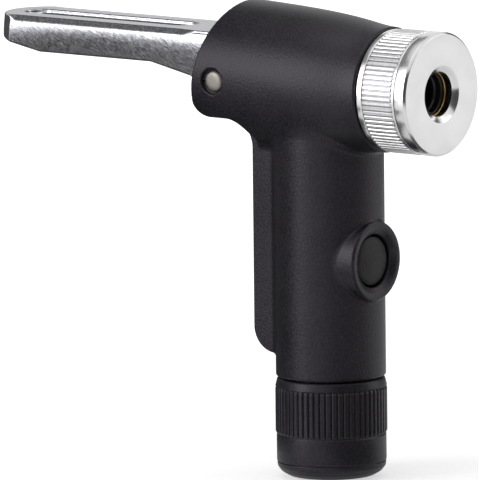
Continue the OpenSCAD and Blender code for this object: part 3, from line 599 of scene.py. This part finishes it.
def knurl_ribs(material, **sizes):
    """Straight ribs set round +Z from z = 0 to Length: flat crests with eased edges and run-out ends."""
    knurl = Pattern("knurl", **sizes)
    depth, width, length, taper = (knurl.size(name) for name in ("Depth", "Width", "Length", "Taper"))
    bar = knurl.node("GeometryNodeMeshCube", None, {
        "Size": knurl.node("ShaderNodeCombineXYZ", None, {"X": depth, "Y": width, "Z": length}),
        "Vertices X": 2, "Vertices Y": 4, "Vertices Z": 4})
    spot = knurl.node("GeometryNodeInputPosition")
    x, y, z = (knurl.node("ShaderNodeSeparateXYZ", None, {0: spot}, axis) for axis in range(3))
    outer = x > 0.0

    def pushed_out(at, whole, power):
        """Moves the inner rows of a bar towards its ends, so that the easing there is short."""
        half = whole * 0.5
        part = (abs(at) / half) ** power
        return part, part * half * at.math("SIGN", at)

    y_part, y_to = pushed_out(y, width, 0.5)
    z_part, z_to = pushed_out(z, length, 0.08)
    drop = ((y_part > 0.99) * 0.35 + (z_part > 0.99) * 0.5) * outer * depth
    shaped = knurl.node("GeometryNodeSetPosition", None, {
        "Geometry": bar,
        "Position": knurl.node("ShaderNodeCombineXYZ", None, {
            "X": x - drop, "Y": y_to * (1.0 - outer * taper), "Z": z_to + length * 0.5})})
    ring = knurl.node("GeometryNodeMeshCircle", {"fill_type": "NONE"}, {
        "Vertices": knurl.size("Ribs"), "Radius": knurl.size("Radius")})
    facing = knurl.node("FunctionNodeAlignEulerToVector", {"axis": "X"}, {
        "Vector": knurl.node("GeometryNodeInputPosition")})
    ribs = knurl.node("GeometryNodeInstanceOnPoints", None, {"Points": ring, "Instance": shaped, "Rotation": facing})
    return knurl.made(ribs, material)


def placed(mesh, place):
    """Moves a mesh made round +Z, in mm, to its place in the row frame."""
    points = np.empty(len(mesh.vertices) * 3)
    mesh.vertices.foreach_get("co", points)
    moved = np.array([place(z, x, y) for x, y, z in points.reshape(-1, 3)]) / 1000
    mesh.vertices.foreach_set("co", moved.ravel())
    mesh.update()
    return mesh


bright = Finish("bright aluminium", Metallic=1.0)
lathe_marks = bright.noise(1800.0, 3.0, 0.5, bright.node("ShaderNodeMapping", None, {
    "Vector": bright.place, "Scale": (1.0, 0.08, 0.08)}))
along, across, up = bright.apart()
up = up - BORE_Z / 1000
reach = (across * across + up * up) ** 0.5
knurled = (reach > 0.0110) * (along > KNURL_START / 1000) * (along < KNURL_END / 1000)
# Painted shade: the surface down between the knurl ribs gets a dark grey colour instead of the bright one.
painted_rib_shade = (reach < 0.01179) * knurled
bright.feed(
    Base_Color=bright.mix(painted_rib_shade, bright.ramp(
        lathe_marks, (0.3, (0.70, 0.70, 0.705)), (0.7, (0.80, 0.80, 0.805))), (0.33, 0.33, 0.35)),
    Roughness=0.16 + 0.12 * (lathe_marks - 0.3) + 0.16 * knurled,
    Normal=bright.bump(lathe_marks, 0.08, 0.00003),
)
piece("ring_body", turned(ring_profile, 192, along_bore), bright.material, "valve ring", "valve_ring")
ring_ribs = knurl_ribs(bright.material, Ribs=76, Radius=11.80, Depth=0.40, Width=0.88, Length=7.1, Taper=0.24)
piece("ring_knurl", placed(ring_ribs, lambda s, a, b: along_bore(s + KNURL_START + 0.05, a, b)),
      bright.material, "valve ring")


# ---------------------------------------------------------------------------------------------------------------
# Seal: a thick moulded rubber sleeve with two lips inside, which close on the valve's stem.
# A turned brass washer lies between it and the ring, so that the ring slides round without twisting it.
# ---------------------------------------------------------------------------------------------------------------

SEAL_X, SEAL_LENGTH = span("valve_seal", 0)[0], 6.9
SEAL_R, SEAL_HOLE_R, SEAL_LIP_R = 7.9, 3.95, 3.65
seal_profile = rounded([
    (SEAL_X, SEAL_R, 0.25), (SEAL_X + SEAL_LENGTH, SEAL_R, 0.25), (SEAL_X + SEAL_LENGTH, SEAL_HOLE_R, 0.3),
    (SEAL_X + 5.52, SEAL_HOLE_R, 0.1), (SEAL_X + 5.2, SEAL_LIP_R, 0.25),
    (SEAL_X + 4.45, SEAL_LIP_R, 0.25), (SEAL_X + 4.14, SEAL_HOLE_R, 0.1),
    (SEAL_X + 2.76, SEAL_HOLE_R, 0.1), (SEAL_X + 2.45, SEAL_LIP_R, 0.25),
    (SEAL_X + 1.7, SEAL_LIP_R, 0.25), (SEAL_X + 1.38, SEAL_HOLE_R, 0.1),
    (SEAL_X, SEAL_HOLE_R, 0.25)])


def soft_rubber(name, tone):
    """Moulded rubber: dark, faintly cloudy and slightly greasy."""
    rubber = Finish(name, IOR=1.5, Specular_IOR_Level=0.4)
    bloom = rubber.noise(420.0, 4.0)
    grit = rubber.noise(3000.0, 2.0)
    rubber.feed(
        Base_Color=rubber.ramp(bloom, (0.35, (tone, tone, tone)), (0.7, (tone * 1.9, tone * 1.9, tone * 1.85))),
        Roughness=0.38 + 0.2 * (bloom - 0.5),
        Normal=rubber.bump(grit, 0.25, 0.00004),
    )
    return rubber.material


rubber = soft_rubber("black rubber", 0.008)
piece("seal_sleeve", turned(seal_profile, 96, along_bore), rubber, "seal carrier", "valve_seal")


def turned_metal(name, low, high, rough, marks_along):
    """Machined metal whose turning marks run round an axis; marks_along scales the noise along X, Y and Z."""
    metal = Finish(name, Metallic=1.0)
    marks = metal.noise(2200.0, 3.0, 0.5, metal.node("ShaderNodeMapping", None, {
        "Vector": metal.place, "Scale": marks_along}))
    tarnish = metal.noise(260.0, 3.0)
    metal.feed(
        Base_Color=metal.ramp(marks * 0.5 + tarnish * 0.5, (0.35, low), (0.65, high)),
        Roughness=rough + 0.2 * (tarnish - 0.5),
        Normal=metal.bump(marks, 0.12, 0.00003),
    )
    return metal.material


WASHER_FACE, WASHER_HOLE_R = span("ring_washer", 0)[1], 4.3
WASHER_BACK = WASHER_FACE - 0.6
BRASS_TONES, BRASS_ROUGH = ((0.52, 0.33, 0.10), (0.70, 0.48, 0.18)), 0.30
brass = turned_metal("turned brass", *BRASS_TONES, BRASS_ROUGH, (1.0, 0.15, 0.15))
washer_profile = rounded([
    (WASHER_BACK, SEAL_R, 0.12), (WASHER_FACE, SEAL_R, 0.12),
    (WASHER_FACE, WASHER_HOLE_R, 0.15), (WASHER_BACK, WASHER_HOLE_R, 0.15)])
piece("washer_disc", turned(washer_profile, 96, along_bore), brass, "seal carrier", "ring_washer")


# ---------------------------------------------------------------------------------------------------------------
# Inner pieces of the bore: brass retainer, acetal plunger with its thrust plate, shuttle, spring and O-rings.
# They are turned parts and keep the shapes of their solids; only their surfaces are finished here.
# ---------------------------------------------------------------------------------------------------------------


def finish_node(node, material):
    """Shows a CAD node's own mesh in a material."""
    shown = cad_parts[node]
    shown.data.materials.clear()
    shown.data.materials.append(material)


finish_node("seal_retainer", brass)
stamped_steel = turned_metal("stamped steel", (0.40, 0.41, 0.42), (0.56, 0.57, 0.58), 0.35, (1.0, 1.0, 1.0))
finish_node("thrust_plate", stamped_steel)
finish_node("plunger", moulded_plastic("natural acetal", (0.56, 0.54, 0.48), (0.66, 0.64, 0.58), 0.15, 0.38))
finish_node("shuttle", moulded_plastic("grey acetal", (0.020, 0.019, 0.018), (0.034, 0.032, 0.030), 0.2, 0.4))
for cord in ("piston_oring", "guide_oring", "shuttle_oring"):
    finish_node(cord, rubber)


def spring_coil(material, **sizes):
    """Round wire wound from z = 0 to Height in Curls turns, with both cut ends of the wire capped."""
    winding = Pattern("spring", **sizes)
    helix = winding.node("GeometryNodeCurveSpiral", None, {
        "Resolution": 32, "Rotations": winding.size("Curls"),
        "Start Radius": winding.size("Radius"), "End Radius": winding.size("Radius"),
        "Height": winding.size("Height")})
    ring = winding.node("GeometryNodeCurvePrimitiveCircle", {"mode": "RADIUS"}, {
        "Resolution": 10, "Radius": winding.size("Wire")})
    wire = winding.node("GeometryNodeCurveToMesh", None, {"Curve": helix, "Profile Curve": ring, "Fill Caps": True})
    smooth = winding.node("GeometryNodeSetShadeSmooth", None, {"Geometry": wire})
    return winding.made(smooth, material)


spring_wire = turned_metal("spring wire", (0.42, 0.43, 0.44), (0.58, 0.585, 0.59), 0.28, (1.0, 1.0, 1.0))
shuttle_coil = spring_coil(spring_wire, Curls=5.0, Radius=3.89, Height=5.05, Wire=0.25)
shuttle_spring = piece("shuttle_coil", placed(shuttle_coil, lambda s, a, b: along_bore(s + 1.95, a, b)),
                       spring_wire, "plunger", "shuttle_spring")
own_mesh(shuttle_spring)


# ---------------------------------------------------------------------------------------------------------------
# Bleed valve: a moulded thumb button with a stippled, slightly domed face on a turned brass stem.
# A spring pushes the button out, and an O-ring on the stem seals on the brass seat pressed into the boss.
# ---------------------------------------------------------------------------------------------------------------

BUTTON_X = round(span("button", 0)[1] - 0.2, 2)
BUTTON_R, BUTTON_INNER_R = 4.74, 3.9
BUTTON_ROOF, BUTTON_SKIRT = BUTTON_X - 1.0, BUTTON_X - 2.6


def along_boss(s, a, b):
    """The boss's row frame: stations run outwards to the button's face."""
    return s, a, BOSS_Z + b


button_profile = [(BUTTON_X + 0.10 - 0.028 * r**2, r) for r in (0, 0.7, 1.4, 2.1, 2.8, 3.4, 3.9, 4.25)]
button_profile += rounded([
    (BUTTON_X - 0.52, 4.6, 0.1), (BUTTON_X - 0.74, BUTTON_R, 0.1), (BUTTON_SKIRT, BUTTON_R, 0.1),
    (BUTTON_SKIRT, BUTTON_INNER_R, 0.1), (BUTTON_ROOF, BUTTON_INNER_R, 0.2)])
button_profile += [(BUTTON_ROOF, 0)]
button_skin = Finish("textured button", IOR=1.45, Specular_IOR_Level=0.30)
stipple = button_skin.node("ShaderNodeTexVoronoi", {"feature": "F1"}, {"Vector": button_skin.place, "Scale": 1900.0})
wear = button_skin.noise(300.0, 3.0)
button_skin.feed(
    Base_Color=button_skin.ramp(wear, (0.3, (0.012, 0.012, 0.0125)), (0.75, (0.026, 0.0255, 0.026))),
    Roughness=0.5 + 0.25 * (wear - 0.5),
    Normal=button_skin.bump(stipple, 0.35, 0.0001),
)
piece("button_cap", turned(button_profile, 96, along_boss), button_skin.material, "button", "button")
finish_node("bleed_stem", brass)
finish_node("bleed_seat", brass)
finish_node("bleed_oring", rubber)
button_coil = spring_coil(spring_wire, Curls=3.0, Radius=3.3, Height=2.96, Wire=0.22)
button_spring = piece("button_coil", placed(button_coil, lambda s, a, b: along_boss(s + 6.5, a, b)),
                      spring_wire, "housing", "button_spring")
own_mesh(button_spring)


# ---------------------------------------------------------------------------------------------------------------
# Hose end: a knurled collar screws on the grip's spigot over a split sleeve that grips the hose on its barb.
# The collar and the closed end ring under it are the same nylon as the housing; the barb is brass.
# ---------------------------------------------------------------------------------------------------------------

COLLAR_FOOT, COLLAR_TOP = span("collar", 2)
COLLAR_R, COLLAR_ROOT, COLLAR_HOLE_R, COLLAR_BAND = 10.66, 10.5, 9.08, (8.55, 17.65)
END_TOP, END_R, END_PLUG_R, END_HOLE_R = span("end_ring", 2)[1], 10.6, 8.18, 5.4


def upright(s, a, b):
    """The hose end's row frame: stations run up the grip's axis."""
    return a, b, s


collar_profile = rounded([
    (COLLAR_FOOT, COLLAR_R, 0.24), (COLLAR_BAND[0] - 0.35, COLLAR_R, 0.2), (COLLAR_BAND[0] - 0.1, COLLAR_ROOT, 0),
    (COLLAR_BAND[1] + 0.05, COLLAR_ROOT, 0), (COLLAR_BAND[1] + 0.05, 10.86, 0.1), (19.15, COLLAR_ROOT, 0.15),
    (COLLAR_TOP, 10.25, 0.1), (COLLAR_TOP, COLLAR_HOLE_R, 0.1),
    (7.6, COLLAR_HOLE_R, 0), (7.6, 8.2, 0), (COLLAR_FOOT, 8.2, 0.1)])
piece("collar_body", turned(collar_profile, 192, upright), black_nylon, "collar", "collar")
collar_ribs = knurl_ribs(black_nylon, Ribs=58, Radius=COLLAR_R, Depth=0.4, Width=1.10, Length=9.05, Taper=0.12)
piece("collar_knurl", placed(collar_ribs, lambda s, a, b: upright(s + COLLAR_BAND[0] + 0.02, a, b)),
      black_nylon, "collar")

end_profile = rounded([
    (0, END_HOLE_R, 0.2), (0, 6.6, 0.6), (0.32, 8.4, 1.0), (1.1, 9.75, 1.0), (2.1, 10.5, 0.7),
    (COLLAR_FOOT, END_R, 0.22), (COLLAR_FOOT, END_PLUG_R, 0),
    (END_TOP, END_PLUG_R, 0.2), (END_TOP, END_HOLE_R, 0.15)])
piece("end_closure", turned(end_profile, 192, upright), black_nylon, "collar", "end_ring")
finish_node("clamp_sleeve", moulded_plastic("sleeve nylon", (0.030, 0.029, 0.031), (0.046, 0.045, 0.047)))
finish_node("hose_barb", turned_metal("barb brass", *BRASS_TONES, BRASS_ROUGH, (0.15, 0.15, 1.0)))
for cord in ("barb_oring", "barb_gasket"):
    finish_node(cord, rubber)


# ---------------------------------------------------------------------------------------------------------------
# Stage: a pale floor under the part, a white surround and three soft boxes.
# Dark cards that only mirrors see give the bright metal its dark bands. None of it belongs to the part.
# ---------------------------------------------------------------------------------------------------------------

camera = bpy.data.objects.new("camera", bpy.data.cameras.new("camera"))
bpy.context.scene.collection.objects.link(camera)
turn, lift, roll = math.radians(37.5), math.radians(8.2), math.radians(-0.62)
aim, shift, distance = Vector((0, 0, 0.050)), (-0.01754, -0.00388), 2.6
back = Vector((math.sin(turn) * math.cos(lift), -math.cos(turn) * math.cos(lift), math.sin(lift)))
right = Vector((math.cos(turn), math.sin(turn), 0))
tilt = Matrix((right, back.cross(right), back)).transposed() @ Matrix.Rotation(roll, 3, "Z")
stand = aim + tilt @ Vector((*shift, distance))
camera.matrix_world = Matrix.Translation(stand) @ tilt.to_4x4()
camera.data.lens = 1006.6
camera.data.sensor_width = 36.0
camera.data.clip_end = 20.0
bpy.context.scene.camera = camera


MIDDLE = Vector((0, 0, 0.06))


def shining(name, place, size, power):
    """Hangs a soft box that faces the part's middle."""
    lamp = bpy.data.lights.new(name, "AREA")
    lamp.shape, lamp.size, lamp.size_y = "RECTANGLE", size[0], size[1]
    lamp.energy = power
    box = bpy.data.objects.new(name, lamp)
    box.visible_camera = False
    box.location = place
    box.rotation_euler = (MIDDLE - place).to_track_quat("-Z", "Y").to_euler()
    bpy.context.scene.collection.objects.link(box)


def compass(azimuth, elevation, distance):
    """A place seen from the part: azimuth runs from -Y towards +X."""
    a, e = math.radians(azimuth), math.radians(elevation)
    return Vector((math.sin(a) * math.cos(e), -math.cos(a) * math.cos(e), math.sin(e))) * distance + MIDDLE


shining("key box", compass(-31, 16, 0.9), (0.40, 0.68), 3.3)
shining("top box", compass(-10, 80, 0.9), (0.6, 0.6), 1.3)
shining("right box", compass(130, 20, 0.9), (0.5, 0.6), 1.1)

floor_mesh = bpy.data.meshes.new("floor")
floor_mesh.from_pydata([(x, y, -0.0002) for x, y in ((-3, -3), (3, -3), (3, 3), (-3, 3))], [], [(0, 1, 2, 3)])
floor = bpy.data.objects.new("floor", floor_mesh)
bpy.context.scene.collection.objects.link(floor)


def where_seen(tree, dim, mirrored, full):
    """A strength: full where the eye sees it, mirrored where metal or glass shows it, dim where it lights the part."""
    strength = dim
    for ray, value in (("Is Camera Ray", full), ("Is Glossy Ray", mirrored), ("Is Transmission Ray", mirrored)):
        strength = add_node(tree, "ShaderNodeLightPath", out=ray) * (value - dim) + strength
    return strength


paper = Finish("white paper", Base_Color=(0.9, 0.9, 0.9, 1), Roughness=0.9, Emission_Color=(1, 1, 1, 1))
near = paper.node("ShaderNodeTexGradient", {"gradient_type": "SPHERICAL"}, {
    "Vector": paper.node("ShaderNodeMapping", None, {"Vector": paper.place, "Scale": (2.2, 2.2, 2.2)})}, "Fac")
paper.feed(Emission_Strength=where_seen(paper.tree, 0.0, 0.48, 1.0) * (0.9 - 0.35 * near))
floor_mesh.materials.append(paper.material)


def card(name, corners, tone=0.02):
    """A dark card, with its corners in mm, that only mirrors can see."""
    mesh = bpy.data.meshes.new(name)
    mesh.from_pydata([Vector(corner) / 1000 for corner in corners], [], [range(len(corners))])
    flag = bpy.data.objects.new(name, mesh)
    bpy.context.scene.collection.objects.link(flag)
    felt = Finish(name, Base_Color=(0, 0, 0, 1), Specular_IOR_Level=0.0,
                  Emission_Color=(tone, tone, tone, 1), Emission_Strength=1.0)
    mesh.materials.append(felt.material)
    flag.visible_camera = flag.visible_diffuse = flag.visible_shadow = False


def standing(start, end, distance, low, high):
    """Corners of an upright card between two compass bearings."""
    a, b = compass(start, 0, distance) * 1000, compass(end, 0, distance) * 1000
    return [(a.x, a.y, low), (b.x, b.y, low), (b.x, b.y, high), (a.x, a.y, high)]


card("lever card", [(x, -150, z) for x, z in (
    (-340, 0), (-190, 0), (-155, 34), (-98, 42), (-98, 74),
    (-132, 79), (-150, 89), (-176, 87), (-200, 58), (-340, 48))])
card("overhead card", [(-290, -95, 200), (-62, -95, 200), (-62, 110, 200), (-290, 110, 200)], 0.17)
card("tip card", [(-160, -40, 40), (-160, 120, 40), (-160, 120, 95), (-160, -40, 95)], 0.12)
card("right card", standing(32, 126, 0.5, -1, 270), 0.08)
card("left card", [(-100, -120, 0), (-100, 120, 0), (-100, 120, 71), (-100, -120, 71)], 0.10)
card("far card", standing(158, 205, 0.5, -1, 330), 0.10)
fan = [(*(compass(bearing, 0, 0.08) * 1000).xy, 0.5) for bearing in (20, 47, 74, 101, 128)]
card("floor card", [(14, -14, 0.5), *fan, (18, 12, 0.5)], 0.10)
card("back card", [(-100, -70, 0.5), (-32, -70, 0.5), (-32, 70, 0.5), (-100, 70, 0.5)], 0.08)
card("corner card", [(-150, -150, 0.5), (-76, -150, 0.5), (-76, -30, 0.5), (-150, -30, 0.5)], 0.06)

world = bpy.data.worlds.new("surround")
bpy.context.scene.world = world
world.use_nodes = True
surround = world.node_tree.nodes["Background"].inputs
surround["Color"].default_value = (1, 1, 1, 1)
world.node_tree.links.new(where_seen(world.node_tree, 0.3, 0.9, 1.0).socket, surround["Strength"])

bpy.context.scene.view_settings.view_transform = "Standard"
